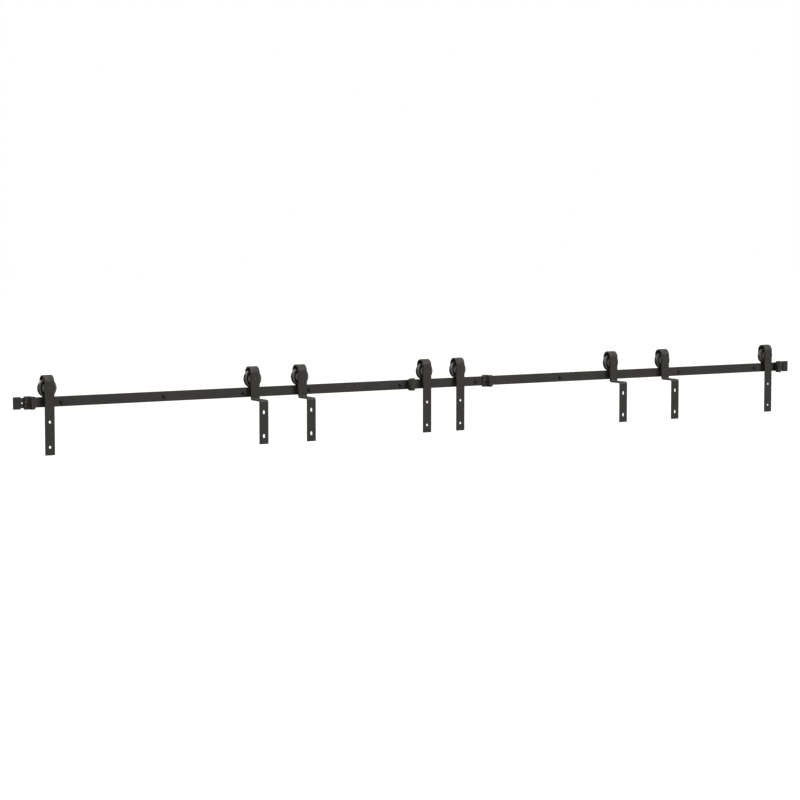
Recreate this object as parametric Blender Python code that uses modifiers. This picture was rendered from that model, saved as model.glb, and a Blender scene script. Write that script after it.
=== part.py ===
"""Sliding barn door hardware: a flat rail in two lengths, eight roller hangers and four stops.

The frame: the wall is the plane Y = 0, the hardware stands on its -Y side, X runs along the
rail and Z is up. The origin is on the wall behind the middle of the rail, at mid height.
All sizes are in metres.
"""
import math

import bmesh
import bpy
from mathutils import Matrix, Vector

# Clearance that touching pieces keep to each other.
GAP = 0.0003

# Rail: flat bar in two lengths that meet at the joint, held off the wall by spacers.
RAIL_HEIGHT = 0.040
RAIL_THICKNESS = 0.006
RAIL_HALF_LENGTH = 1.9437
JOINT_X = -0.028
JOINT_GAP = 0.0006
SPACER_LENGTH = 0.032
SPACER_RADIUS = 0.0125
RAIL_BACK_Y = -(SPACER_LENGTH + GAP)
RAIL_MID_Y = RAIL_BACK_Y - RAIL_THICKNESS / 2
RAIL_FRONT_Y = RAIL_BACK_Y - RAIL_THICKNESS
END_HOLE_X = 1.9105
END_HOLE_RADIUS = 0.0035

# Lag bolts, one through each spacer, at the same places on both sides of the middle.
LAG_X_FROM_MIDDLE = (1.745, 1.302, 0.944, 0.637, 0.192)
LAG_RADIUS = 0.004
LAG_HOLE_RADIUS = 0.0045
LAG_HEAD_FLATS = 0.013
LAG_HEAD_HEIGHT = 0.0055
LAG_WASHER_RADIUS = 0.0095
LAG_WASHER_THICKNESS = 0.0016
LAG_DEPTH_IN_WALL = 0.055
LAG_POINT = 0.008

# Splice: a plate welded behind the left rail's end, with studs that lock the right rail to it.
SPLICE_HALF_LENGTH = 0.060
SPLICE_HEIGHT = 0.028
SPLICE_THICKNESS = 0.005
SPLICE_WELD_SETBACK = 0.004
SPLICE_STUD_OFFSETS = (0.018, 0.044)
SPLICE_STUD_RADIUS = 0.004

# End caps: sleeves pushed over the rail ends.
CAP_LENGTH = 0.028
CAP_DEPTH = 0.014
CAP_HEIGHT = 0.048
CAP_END_WALL = 0.002
CAP_ROUNDING = 0.0012

# Stops: a channel over the rail, an upstand and a rubber bumper on it.
STOP_BASE_LENGTH = 0.020
STOP_UPSTAND = 0.006
STOP_BASE_THICKNESS = 0.006
STOP_HEIGHT = 0.0512
STOP_REACH = 0.028
STOP_CORNER = 0.002
BUMPER_THICKNESS = 0.0097
BUMPER_HEIGHT = 0.0496
BUMPER_DEPTH = 0.0206
BUMPER_ROUNDING = 0.0018
STUD_RADIUS = 0.0025
STUD_LENGTH = 0.0055
STOP_BOLT_RADIUS = 0.003
STOP_BOLT_HEAD_RADIUS = 0.0062
STOP_BOLT_HEAD_HEIGHT = 0.0036
STOP_NUT_FLATS = 0.010
STOP_NUT_HEIGHT = 0.005

# Each stop: its name, the face of its base that is away from the bumper, and the
# direction in which the bumper points.
STOPS = (
    ("left_end", -1.903, 1),
    ("middle_left", -0.124, -1),
    ("middle_right", 0.224, 1),
    ("right_end", 1.903, -1),
)

# Hangers: a flat strap folded over a grooved wheel. An offset strap steps out over a plate.
STRAP_WIDTH = 0.040
STRAP_THICKNESS = 0.006
STRAP_HALF_SPACING = 0.0236
ARC_CENTRE_Z = 0.0784
BACK_LEG_END_Z = 0.036
STRAIGHT_END_Z = -0.2065
STRAIGHT_HOLES_Z = (-0.0768, -0.1746)
OFFSET_REACH = 0.0717
OFFSET_PLATE_Z = -0.0290
OFFSET_END_Z = -0.2052
OFFSET_HOLES_Z = (-0.0758, -0.1724)
BEND_RADIUS = 0.007
DOOR_HOLE_RADIUS = 0.0055
SLOT_STRETCH = 0.0026

# Wheel and axle.
WHEEL_RADIUS = 0.038
GROOVE_RADIUS = 0.034
AXLE_Z = RAIL_HEIGHT / 2 + GAP + GROOVE_RADIUS
WHEEL_HALF_WIDTH = 0.00825
GROOVE_HALF_WIDTH = 0.0036
GROOVE_HALF_MOUTH = 0.0048
RIM_INNER_RADIUS = 0.0295
RECESS_HALF_WIDTH = 0.0055
HUB_RADIUS = 0.014
HUB_HALF_WIDTH = 0.0080
AXLE_RADIUS = 0.006
BORE_RADIUS = AXLE_RADIUS + GAP
AXLE_HOLE_RADIUS = 0.0064
COLLAR_RADIUS = 0.0085
AXLE_NUT_FLATS = 0.018
AXLE_NUT_HEIGHT = 0.0054
AXLE_END_SHOW = 0.0006

# How far each wheel has rolled since a corner of its rim pointed straight down.
WHEEL_TURN = math.radians(5)

# Each hanger's place along the rail, and whether its strap is the offset kind.
HANGERS = (
    (-1.806, False),
    (-0.902, True),
    (-0.681, True),
    (-0.073, False),
    (0.096, False),
    (0.914, True),
    (1.205, True),
    (1.811, False),
)

# Facets around a full turn.
WHEEL_STEPS = 20
PIN_STEPS = 12
HOLE_STEPS = 12
TUBE_STEPS = 16
BEND_STEPS = 3
ARC_STEPS = 10

# Turns a shape built around Z so that its top faces the room.
FACE_ROOM = Matrix.Rotation(math.radians(90), 4, "X")

# Name, colour, roughness and metallic value of each material.
FINISHES = {
    "powder_coat": ((0.040, 0.040, 0.037, 1.0), 0.62, 0.25),
    "wheel_coat": ((0.045, 0.045, 0.043, 1.0), 0.50, 0.30),
    "cap_plastic": ((0.034, 0.032, 0.036, 1.0), 0.70, 0.0),
    "black_rubber": ((0.022, 0.022, 0.022, 1.0), 0.85, 0.0),
    "black_oxide": ((0.060, 0.058, 0.055, 1.0), 0.45, 0.80),
}


def clear_scene():
    for old in list(bpy.data.objects):
        bpy.data.objects.remove(old, do_unlink=True)


def make_collection(name):
    collection = bpy.data.collections.new(name)
    bpy.context.scene.collection.children.link(collection)
    return collection


def make_material(name, colour, roughness, metallic):
    material = bpy.data.materials.new(name)
    material.use_nodes = True
    shader = material.node_tree.nodes["Principled BSDF"]
    shader.inputs["Base Color"].default_value = colour
    shader.inputs["Roughness"].default_value = roughness
    shader.inputs["Metallic"].default_value = metallic
    material.diffuse_color = colour
    return material


def place(name, mesh, location=(0, 0, 0), parent=None):
    """Adds a finished mesh to the hardware as a named part."""
    part = bpy.data.objects.new(name, mesh)
    part.location = location
    part.parent = parent
    hardware.objects.link(part)
    return part


def scratch(name, mesh):
    """Adds a mesh to the workshop, where shapes are cut and joined before they are placed."""
    mesh_object = bpy.data.objects.new(name, mesh)
    mesh_object.hide_render = True
    mesh_object.display_type = "WIRE"
    workshop.objects.link(mesh_object)
    return mesh_object


def mesh_from(bm, name):
    bmesh.ops.recalc_face_normals(bm, faces=bm.faces)
    mesh = bpy.data.meshes.new(name)
    bm.to_mesh(mesh)
    bm.free()
    return mesh


def box(name, low, high):
    """A box between two corners."""
    low, high = Vector(low), Vector(high)
    bm = bmesh.new()
    size = Matrix.Diagonal((*(high - low), 1.0))
    bmesh.ops.create_cube(bm, size=1.0, matrix=Matrix.Translation((low + high) / 2) @ size)
    return scratch(name, mesh_from(bm, name))


def span(first, second):
    """Two numbers in rising order."""
    return min(first, second), max(first, second)


def cylinder(name, radius, start_y, end_y, x=0.0, z=0.0, steps=HOLE_STEPS, stretch=0.0, end_radius=None):
    """A cylinder along Y from start_y to end_y; stretch lengthens it up and down into a slot."""
    bm = bmesh.new()
    bmesh.ops.create_cone(
        bm,
        cap_ends=True,
        segments=steps,
        radius1=radius if end_radius is None else end_radius,
        radius2=radius,
        depth=end_y - start_y,
        matrix=FACE_ROOM @ Matrix.Rotation(math.pi / steps, 4, "Z"),
    )
    for vertex in bm.verts:
        vertex.co.z += math.copysign(stretch, vertex.co.z)
    bmesh.ops.translate(bm, verts=bm.verts, vec=(x, (start_y + end_y) / 2, z))
    return scratch(name, mesh_from(bm, name))


def hexagon(name, flats, start_y, end_y):
    """A hexagonal prism along Y, measured across its flats."""
    return cylinder(name, flats / math.sqrt(3), start_y, end_y, steps=6)


def turned(name, profile, steps):
    """A profile of (radius, height) points, turned around Z, then laid with its top to the room."""
    bm = bmesh.new()
    points = [bm.verts.new((radius, 0, height)) for radius, height in profile]
    for first, second in zip(points, points[1:]):
        bm.edges.new((first, second))
    if profile[0][0] > 0:
        bm.edges.new((points[-1], points[0]))
    mesh = bpy.data.meshes.new(name)
    bm.to_mesh(mesh)
    bm.free()
    lathe = scratch(name, mesh)
    screw = lathe.modifiers.new("turn", "SCREW")
    screw.axis = "Z"
    screw.steps = steps
    screw.render_steps = steps
    screw.use_merge_vertices = True
    screw.merge_threshold = 0.00001
    turned_mesh = finish(lathe)
    turned_mesh.transform(FACE_ROOM)
    return turned_mesh


def combine(target, other, operation):
    modifier = target.modifiers.new(operation.lower(), "BOOLEAN")
    modifier.operation = operation
    modifier.solver = "EXACT"
    modifier.object = other


def join(target, *others):
    for other in others:
        combine(target, other, "UNION")


def cut(target, *others):
    for other in others:
        combine(target, other, "DIFFERENCE")


def round_edges(target, width, segments=1):
    bevel = target.modifiers.new("round", "BEVEL")
    bevel.width = width
    bevel.segments = segments
    bevel.limit_method = "ANGLE"


def finish(source, material=None):
    """Applies a shape's modifiers, removes it with its cutters and gives the mesh."""
    bpy.context.view_layer.update()
    evaluated = source.evaluated_get(bpy.context.evaluated_depsgraph_get())
    mesh = bpy.data.meshes.new_from_object(evaluated)
    mesh.name = source.name
    helpers = [step.object for step in source.modifiers if step.type == "BOOLEAN"]
    for helper in helpers:
        bpy.data.objects.remove(helper)
    bpy.data.objects.remove(source)
    if material is not None:
        dress(mesh, material)
    return mesh


def dress(mesh, material):
    """Gives a mesh its material and smooth shading between its sharp edges."""
    mesh.materials.clear()
    mesh.materials.append(materials[material])
    mesh.shade_smooth()
    mesh.set_sharp_from_angle(angle=math.radians(35))


def lag_places():
    """Where every lag bolt crosses the rail, from left to right."""
    return sorted(side * x for x in LAG_X_FROM_MIDDLE for side in (-1, 1))


def stop_bolt_x(base_face, direction):
    return base_face + direction * STOP_BASE_LENGTH / 2


def add_splice(bar):
    """Welds the splice plate and its studs to the left rail; the right rail keeps a gap to them."""
    half_height = SPLICE_HEIGHT / 2
    front = RAIL_BACK_Y + GAP
    back = front + SPLICE_THICKNESS
    start = JOINT_X - SPLICE_HALF_LENGTH
    plate = box("splice", (start, front, -half_height), (JOINT_X + SPLICE_HALF_LENGTH, back, half_height))
    weld_low = (start + SPLICE_WELD_SETBACK, RAIL_BACK_Y - 0.001, -half_height + SPLICE_WELD_SETBACK)
    weld_high = (JOINT_X - SPLICE_WELD_SETBACK, front + 0.001, half_height - SPLICE_WELD_SETBACK)
    join(bar, plate, box("weld", weld_low, weld_high))
    for offset in SPLICE_STUD_OFFSETS:
        join(bar, cylinder("stud", SPLICE_STUD_RADIUS, RAIL_FRONT_Y, front + 0.001, x=JOINT_X + offset))


def make_rails():
    """Both rail lengths, drilled for their lag bolts, stop bolts, splice studs and end holes."""
    ends = {
        "rail_left": (-RAIL_HALF_LENGTH, JOINT_X - JOINT_GAP / 2),
        "rail_right": (JOINT_X + JOINT_GAP / 2, RAIL_HALF_LENGTH),
    }
    holes = [(x, LAG_HOLE_RADIUS) for x in lag_places()]
    holes += [(stop_bolt_x(face, side), STOP_BOLT_RADIUS + GAP) for _, face, side in STOPS]
    holes += [(-END_HOLE_X, END_HOLE_RADIUS), (END_HOLE_X, END_HOLE_RADIUS)]
    holes += [(JOINT_X + offset, SPLICE_STUD_RADIUS + GAP) for offset in SPLICE_STUD_OFFSETS]
    for name, (start, end) in ends.items():
        half_height = RAIL_HEIGHT / 2
        bar = box(name, (start, RAIL_FRONT_Y, -half_height), (end, RAIL_BACK_Y, half_height))
        for x, radius in holes:
            if start < x < end:
                drill = cylinder("drill", radius, RAIL_FRONT_Y - 0.002, RAIL_BACK_Y + 0.002, x=x)
                cut(bar, drill)
        if name == "rail_left":
            add_splice(bar)
        place(name, finish(bar, "powder_coat"))


def make_spacers():
    """One tubular spacer behind the rail at every lag bolt."""
    tube = cylinder("wall_spacer", SPACER_RADIUS, -SPACER_LENGTH, 0, steps=TUBE_STEPS)
    cut(tube, cylinder("bore", LAG_HOLE_RADIUS, -SPACER_LENGTH - 0.002, 0.002))
    mesh = finish(tube, "powder_coat")
    for number, x in enumerate(lag_places(), 1):
        place(f"wall_spacer_{number}", mesh, (x, 0, 0))


def make_lag_bolts():
    """Hexagon head, washer and pointed shank of every lag bolt, each as one piece."""
    washer_back = RAIL_FRONT_Y - GAP
    washer_front = washer_back - LAG_WASHER_THICKNESS
    head_front = washer_front - LAG_HEAD_HEIGHT
    overlap = 0.0005
    point_start = LAG_DEPTH_IN_WALL - LAG_POINT
    shank = cylinder("lag_bolt", LAG_RADIUS, washer_front, point_start, steps=8)
    tip_radius = LAG_RADIUS / 5
    point = cylinder("point", tip_radius, point_start, LAG_DEPTH_IN_WALL, steps=8, end_radius=LAG_RADIUS)
    join(shank, point)
    join(shank, cylinder("washer", LAG_WASHER_RADIUS, washer_front, washer_back))
    join(shank, hexagon("head", LAG_HEAD_FLATS, head_front, washer_front + overlap))
    mesh = finish(shank, "black_oxide")
    for number, x in enumerate(lag_places(), 1):
        place(f"lag_bolt_{number}", mesh, (x, 0, 0))


def make_end_caps():
    """A sleeve over each rail end, built for the left end and mirrored for the right one."""
    half_height, half_depth = CAP_HEIGHT / 2, CAP_DEPTH / 2
    outer_x = -RAIL_HALF_LENGTH - GAP - CAP_END_WALL
    sleeve_low = (outer_x, RAIL_MID_Y - half_depth, -half_height)
    sleeve_high = (outer_x + CAP_LENGTH, RAIL_MID_Y + half_depth, half_height)
    pocket_low = (-RAIL_HALF_LENGTH - GAP, RAIL_FRONT_Y - GAP, -RAIL_HEIGHT / 2 - GAP)
    pocket_high = (outer_x + CAP_LENGTH + 0.002, RAIL_BACK_Y + GAP, RAIL_HEIGHT / 2 + GAP)
    sleeve = box("end_cap_left", sleeve_low, sleeve_high)
    round_edges(sleeve, CAP_ROUNDING)
    cut(sleeve, box("pocket", pocket_low, pocket_high))
    mesh = finish(sleeve, "cap_plastic")
    place("end_cap_left", mesh)
    mirrored = mesh.copy()
    mirrored.transform(Matrix.Scale(-1, 4, (1, 0, 0)))
    mirrored.flip_normals()
    dress(mirrored, "cap_plastic")
    place("end_cap_right", mirrored)


def stop_bracket_mesh(direction):
    """Channel over the rail and the upstand, from x = 0 towards direction."""
    half_height = STOP_HEIGHT / 2
    seat = RAIL_FRONT_Y - GAP
    base_x = span(0, direction * STOP_BASE_LENGTH)
    upstand_x = span(direction * (STOP_BASE_LENGTH - 0.0005), direction * (STOP_BASE_LENGTH + STOP_UPSTAND))
    channel = box(
        f"stop_bracket_{direction}",
        (base_x[0], seat - STOP_BASE_THICKNESS, -half_height),
        (base_x[1], RAIL_BACK_Y, half_height),
    )
    rail_space = box(
        "rail_space",
        (base_x[0] - 0.002, seat, -RAIL_HEIGHT / 2 - GAP),
        (base_x[1] + 0.002, RAIL_BACK_Y + 0.002, RAIL_HEIGHT / 2 + GAP),
    )
    upstand = box(
        "upstand",
        (upstand_x[0], RAIL_FRONT_Y - STOP_REACH, -half_height),
        (upstand_x[1], seat, half_height),
    )
    round_edges(upstand, STOP_CORNER, 1)
    cut(channel, rail_space)
    join(channel, upstand)
    base_middle = direction * STOP_BASE_LENGTH / 2
    bolt_hole = cylinder("bolt_hole", STOP_BOLT_RADIUS + GAP, seat - 0.010, seat + 0.010, x=base_middle)
    stud_hole = side_cylinder("stud_hole", STUD_RADIUS + GAP, upstand_x[0] - 0.002, upstand_x[1] + 0.002)
    cut(channel, bolt_hole, stud_hole)
    return finish(channel, "powder_coat")


def bumper_middle_y():
    return RAIL_FRONT_Y - STOP_REACH + BUMPER_DEPTH / 2 + GAP


def side_cylinder(name, radius, start_x, end_x):
    """A cylinder along X at the height of the rail and the depth of the bumper."""
    bm = bmesh.new()
    turn = Matrix.Rotation(math.radians(90), 4, "Y")
    middle = Matrix.Translation(((start_x + end_x) / 2, bumper_middle_y(), 0))
    bmesh.ops.create_cone(
        bm,
        cap_ends=True,
        segments=8,
        radius1=radius,
        radius2=radius,
        depth=end_x - start_x,
        matrix=middle @ turn,
    )
    return scratch(name, mesh_from(bm, name))


def bumper_mesh(direction):
    """Rounded rubber block on the upstand's face, with the stud that holds it."""
    face = direction * (STOP_BASE_LENGTH + STOP_UPSTAND)
    block_x = span(face + direction * GAP, face + direction * (GAP + BUMPER_THICKNESS))
    stud_x = span(face + direction * (GAP + 0.001), face - direction * (STUD_LENGTH - GAP))
    half_depth, half_height = BUMPER_DEPTH / 2, BUMPER_HEIGHT / 2
    middle_y = bumper_middle_y()
    block = box(
        f"stop_bumper_{direction}",
        (block_x[0], middle_y - half_depth, -half_height),
        (block_x[1], middle_y + half_depth, half_height),
    )
    round_edges(block, BUMPER_ROUNDING)
    join(block, side_cylinder("stud", STUD_RADIUS, *stud_x))
    return finish(block, "black_rubber")


def stop_bolt_mesh():
    """Round head in front of the stop, shank through the rail and a nut behind it."""
    seat = RAIL_FRONT_Y - GAP - STOP_BASE_THICKNESS - GAP
    nut_front = RAIL_BACK_Y + GAP
    nut_back = nut_front + STOP_NUT_HEIGHT
    shank = cylinder("stop_bolt", STOP_BOLT_RADIUS, seat - 0.001, nut_back + 0.002, steps=8)
    join(shank, cylinder("head", STOP_BOLT_HEAD_RADIUS, seat - STOP_BOLT_HEAD_HEIGHT, seat))
    join(shank, hexagon("nut", STOP_NUT_FLATS, nut_front, nut_back))
    return finish(shank, "black_oxide")


def make_stops():
    brackets = {side: stop_bracket_mesh(side) for side in (-1, 1)}
    bumpers = {side: bumper_mesh(side) for side in (-1, 1)}
    bolt = stop_bolt_mesh()
    for name, face, side in STOPS:
        bracket = place(f"stop_bracket_{name}", brackets[side], (face, 0, 0))
        place(f"stop_bumper_{name}", bumpers[side], parent=bracket)
        place(f"stop_bolt_{name}", bolt, (side * STOP_BASE_LENGTH / 2, 0, 0), bracket)


def arc(centre, radius, start, end, steps):
    """Points of an arc in the YZ plane; angles in degrees, from the +Y direction up."""
    angles = [math.radians(start + (end - start) * step / steps) for step in range(steps + 1)]
    return [(centre[0] + radius * math.cos(a), centre[1] + radius * math.sin(a)) for a in angles]


def strap_path(offset):
    """The strap's middle line in (y, z) around the wheel's plane, from the back leg's end."""
    path = [(STRAP_HALF_SPACING, BACK_LEG_END_Z)]
    path += arc((0, ARC_CENTRE_Z), STRAP_HALF_SPACING, 0, 180, ARC_STEPS)
    if offset:
        inner_bend = (-STRAP_HALF_SPACING - BEND_RADIUS, OFFSET_PLATE_Z + BEND_RADIUS)
        outer_bend = (-STRAP_HALF_SPACING - OFFSET_REACH + BEND_RADIUS, OFFSET_PLATE_Z - BEND_RADIUS)
        path += arc(inner_bend, BEND_RADIUS, 0, -90, BEND_STEPS)
        path += arc(outer_bend, BEND_RADIUS, 90, 180, BEND_STEPS)
        path.append((-STRAP_HALF_SPACING - OFFSET_REACH, OFFSET_END_Z))
    else:
        path.append((-STRAP_HALF_SPACING, STRAIGHT_END_Z))
    return path


def strap_mesh(offset):
    """The strap as a ribbon along its middle line, thickened and drilled; x = 0 and y = 0 are
    the wheel's middle, and z is measured from the axle."""
    name = "strap_offset" if offset else "strap_straight"
    bm = bmesh.new()
    line = [bm.verts.new((-STRAP_WIDTH / 2, y, z - AXLE_Z)) for y, z in strap_path(offset)]
    edges = [bm.edges.new(pair) for pair in zip(line, line[1:])]
    swept = bmesh.ops.extrude_edge_only(bm, edges=edges)["geom"]
    new_points = [item for item in swept if isinstance(item, bmesh.types.BMVert)]
    bmesh.ops.translate(bm, verts=new_points, vec=(STRAP_WIDTH, 0, 0))
    ribbon = scratch(name, mesh_from(bm, name))
    thickness = ribbon.modifiers.new("thickness", "SOLIDIFY")
    thickness.thickness = STRAP_THICKNESS
    thickness.offset = 0
    thickness.use_even_offset = True
    reach = STRAP_HALF_SPACING + OFFSET_REACH + 0.010
    back = STRAP_HALF_SPACING + 0.010
    cut(ribbon, cylinder("axle_hole", AXLE_HOLE_RADIUS, -back, back))
    for z in OFFSET_HOLES_Z if offset else STRAIGHT_HOLES_Z:
        stretch = SLOT_STRETCH if offset else 0.0
        cut(ribbon, cylinder("door_hole", DOOR_HOLE_RADIUS, -reach, 0, z=z - AXLE_Z, stretch=stretch))
    return finish(ribbon, "powder_coat")


def wheel_mesh():
    """Grooved wheel with a rim, a recessed web and a hub on both sides."""
    upper = [
        (BORE_RADIUS, HUB_HALF_WIDTH),
        (HUB_RADIUS, HUB_HALF_WIDTH),
        (HUB_RADIUS, RECESS_HALF_WIDTH),
        (RIM_INNER_RADIUS, RECESS_HALF_WIDTH),
        (RIM_INNER_RADIUS, WHEEL_HALF_WIDTH),
        (WHEEL_RADIUS, WHEEL_HALF_WIDTH),
        (WHEEL_RADIUS, GROOVE_HALF_MOUTH),
        (GROOVE_RADIUS, GROOVE_HALF_WIDTH),
    ]
    lower = [(radius, -height) for radius, height in reversed(upper)]
    mesh = turned("wheel", upper + lower, WHEEL_STEPS)
    mesh.transform(Matrix.Rotation(WHEEL_TURN, 4, "Y"))
    dress(mesh, "wheel_coat")
    return mesh


def axle_mesh():
    """Axle pin with its two collars beside the wheel, flush in the front of the strap, and the
    nut behind the back leg."""
    strap_face = STRAP_HALF_SPACING + STRAP_THICKNESS / 2
    collar_outer = STRAP_HALF_SPACING - STRAP_THICKNESS / 2 - GAP
    collar_inner = HUB_HALF_WIDTH + GAP
    nut_front = strap_face + GAP
    nut_back = nut_front + AXLE_NUT_HEIGHT
    profile = [
        (0, strap_face),
        (AXLE_RADIUS, strap_face),
        (AXLE_RADIUS, collar_outer),
        (COLLAR_RADIUS, collar_outer),
        (COLLAR_RADIUS, collar_inner),
        (AXLE_RADIUS, collar_inner),
        (AXLE_RADIUS, -collar_inner),
        (COLLAR_RADIUS, -collar_inner),
        (COLLAR_RADIUS, -collar_outer),
        (AXLE_RADIUS, -collar_outer),
        (AXLE_RADIUS, -nut_back - AXLE_END_SHOW),
        (0, -nut_back - AXLE_END_SHOW),
    ]
    pin = scratch("axle_bolt", turned("pin", profile, PIN_STEPS))
    join(pin, hexagon("nut", AXLE_NUT_FLATS, nut_front, nut_back))
    return finish(pin, "black_oxide")


def make_hangers():
    straps = {offset: strap_mesh(offset) for offset in (False, True)}
    wheel = wheel_mesh()
    axle = axle_mesh()
    for number, (x, offset) in enumerate(HANGERS, 1):
        carriage = bpy.data.objects.new(f"hanger_{number}_axle_line", None)
        carriage.location = (x, RAIL_MID_Y, AXLE_Z)
        carriage.empty_display_size = 0.05
        hardware.objects.link(carriage)
        kind = "offset" if offset else "straight"
        place(f"hanger_{number}_strap_{kind}", straps[offset], parent=carriage)
        place(f"hanger_{number}_axle_bolt", axle, parent=carriage)
        place(f"hanger_{number}_wheel", wheel, parent=carriage)


clear_scene()
hardware = make_collection("sliding_barn_door_hardware")
workshop = make_collection("workshop")
materials = {name: make_material(name, *finish_values) for name, finish_values in FINISHES.items()}
make_rails()
make_spacers()
make_lag_bolts()
make_end_caps()
make_stops()
make_hangers()
bpy.context.view_layer.update()
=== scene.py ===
"""Looks of the sliding barn door hardware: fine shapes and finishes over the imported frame.

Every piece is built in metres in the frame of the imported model, where the wall is the plane
Y = 0, the room is on the -Y side and Z is up.
"""
import math
import random

import bmesh
import bpy
from mathutils import Matrix, Vector


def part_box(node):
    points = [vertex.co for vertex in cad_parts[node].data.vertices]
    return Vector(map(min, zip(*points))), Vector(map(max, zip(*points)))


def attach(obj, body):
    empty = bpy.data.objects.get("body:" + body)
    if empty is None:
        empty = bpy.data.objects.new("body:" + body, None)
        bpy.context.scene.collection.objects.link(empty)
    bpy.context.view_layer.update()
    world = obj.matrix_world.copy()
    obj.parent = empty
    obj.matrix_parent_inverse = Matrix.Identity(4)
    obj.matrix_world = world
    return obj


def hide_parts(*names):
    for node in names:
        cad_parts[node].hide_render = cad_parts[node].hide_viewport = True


# Gap that parts keep where they touch, and how far a cutter reaches past what it cuts.
GAP = 0.0003
CUTTER_SPARE = 0.002

# Rail.
EDGE_ROUNDING = 0.0006
HOLE_ROUNDING = 0.0003
RAIL_JOINT_GAP = 0.0006
LAG_HOLE_RADIUS = 0.0045
END_HOLE_X = 1.9105
END_HOLE_RADIUS = 0.0035
STOP_HOLE_RADIUS = 0.0033
STUD_HOLE_RADIUS = 0.0043
STUD_RADIUS = 0.0040
STUD_OFFSETS = (0.018, 0.044)
SPLICE_HALF_LENGTH = 0.060
SPLICE_HALF_HEIGHT = 0.014
SPLICE_THICKNESS = 0.005
SPLICE_ROUNDING = 0.0010
STUD_SINK = 0.001
WELD_RADIUS = 0.0019
WELD_INSET = 0.0006
WELD_STOP = 0.006
WELD_STEP = 0.0004
WELD_RIPPLE = 0.0016
WELD_SIDES = 10
WELD_END_SHARE = 0.35
WELD_RIPPLE_DEPTH = 0.08
WELD_UNEVENNESS = (0.8, 1.2)
STUD_ROUNDING = 0.0004
STUD_STEPS = 40

# Lag bolts and spacers.
LAG_RADIUS = 0.0040
LAG_CORE_RADIUS = 0.0029
LAG_PITCH = 0.0032
LAG_THREAD_START = 0.006
LAG_POINT = 0.008
LAG_TIP_RADIUS = 0.0002
THREAD_RUN_IN = 0.003
THREAD_SIDES = 28
THREAD_ROWS_PER_TURN = 9
THREAD_RIDGE_SHARE = 0.24
WASHER_RADIUS = 0.0095
WASHER_THICKNESS = 0.0016
WASHER_ROUNDING = 0.0004
LAG_HEAD_FLATS = 0.013
LAG_HEAD_LIFT = 0.0004
LAG_COLLAR_RADIUS = 0.0061
LAG_COLLAR_THICKNESS = 0.0006
LAG_COLLAR_STEPS = 48
LAG_SHANK_STEPS = 32
THREAD_LAP = 0.0002
WASHER_BORE_LIP = 0.0002
WASHER_STEPS = 56
SPACER_ROUNDING = 0.0007
SPACER_STEPS = 64

# End caps.
CAP_ROUNDING = 0.0014
POCKET_ROUNDING = 0.00035

# Stops.
STOP_BASE_LENGTH = 0.020
STOP_UPSTAND = 0.006
STOP_BASE_THICKNESS = 0.006
STOP_BEND = 0.0036
STOP_BEND_STEPS = 8
STOP_FOOT_INSET = 0.0002
STOP_FOOT_LAP = 0.0006
BRACKET_ROUNDING = 0.0007
BRACKET_SPARE = 0.004
BRACKET_DRILL_REACH = 0.010
UPSTAND_ROUNDING = 0.0022
BUMPER_ROUNDING = 0.0021
STOP_SHANK_RADIUS = 0.0030
STOP_SHANK_CHAMFER = 0.0004
STOP_HEAD_RIM = 0.0012
STOP_HEAD_SHOULDER = 0.0006
STOP_HEAD_SHOULDER_SHARE = 0.86
STOP_HEAD_FLAT_SHARE = 0.62
STOP_HEAD_ROUNDING = 0.0003
STOP_HEAD_STEPS = 48
SOCKET_DEPTH = 0.0020
SOCKET_SPARE = 0.001
SOCKET_FLATS = 0.004
STOP_NUT_FLATS = 0.010
STOP_NUT_HEIGHT = 0.005

# Straps.
STRAP_THICKNESS = 0.006
STRAP_HALF_SPACING = 0.0236
ARC_CENTRE_Z = 0.0784
BACK_LEG_END_Z = 0.036
STRAP_ROUNDING = 0.0007
STRAP_DRILL_SPARE = 0.010
STRAP_HOLE_STEPS = 56
STRAP_ARC_STEPS = 56
STRAP_BEND_STEPS = 14
OFFSET_REACH = 0.0717
OFFSET_PLATE_Z = -0.0290
BEND_RADIUS = 0.007
AXLE_HOLE_RADIUS = 0.0064
DOOR_HOLE_RADIUS = 0.0055
SLOT_STRETCH = 0.0026
STRAIGHT_HOLES_Z = (-0.0768, -0.1746)
OFFSET_HOLES_Z = (-0.0758, -0.1724)

# Wheels, axles and bearings.
WHEEL_RADIUS = 0.038
WHEEL_HALF_WIDTH = 0.00825
GROOVE_RADIUS = 0.034
GROOVE_HALF_WIDTH = 0.0036
GROOVE_HALF_MOUTH = 0.0048
RIM_INNER_RADIUS = 0.0295
WEB_HALF_WIDTH = 0.0055
HUB_RADIUS = 0.014
HUB_FOOT_RADIUS = 0.0215
RIM_OUTER_RADIUS = 0.0345
HUB_HALF_WIDTH = 0.0080
RIM_RISE = 0.0008
FLANGE_BEVEL = 0.0006
WHEEL_ROUNDING = 0.0008
WHEEL_STEPS = 112
BEARING_RADIUS = 0.0105
BEARING_WIDTH = 0.0050
BEARING_SETBACK = 0.0004
BEARING_BORE = 0.0061
BEARING_BORE_MIDDLE = 0.002
BEARING_SEAT_LIP = 0.0012
BEARING_FIT = 0.00005
BEARING_OUTER_RING = 0.0012
BEARING_INNER_RING = 0.0011
BEARING_DIP = 0.00035
BEARING_ROUNDING = 0.00022
BEARING_STEPS = 64
SEAL_SETBACK = 0.0001
SEAL_THICKNESS = 0.0006
SEAL_INNER_INSET = 0.0012
SEAL_OUTER_INSET = 0.0013
SEAL_ROUNDING = 0.0001
AXLE_RADIUS = 0.006
COLLAR_RADIUS = 0.0085
AXLE_NUT_FLATS = 0.018
AXLE_END_SHOW = 0.0006
AXLE_END_CHAMFER = 0.0008
AXLE_CENTRE_RADIUS = 0.0018
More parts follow.
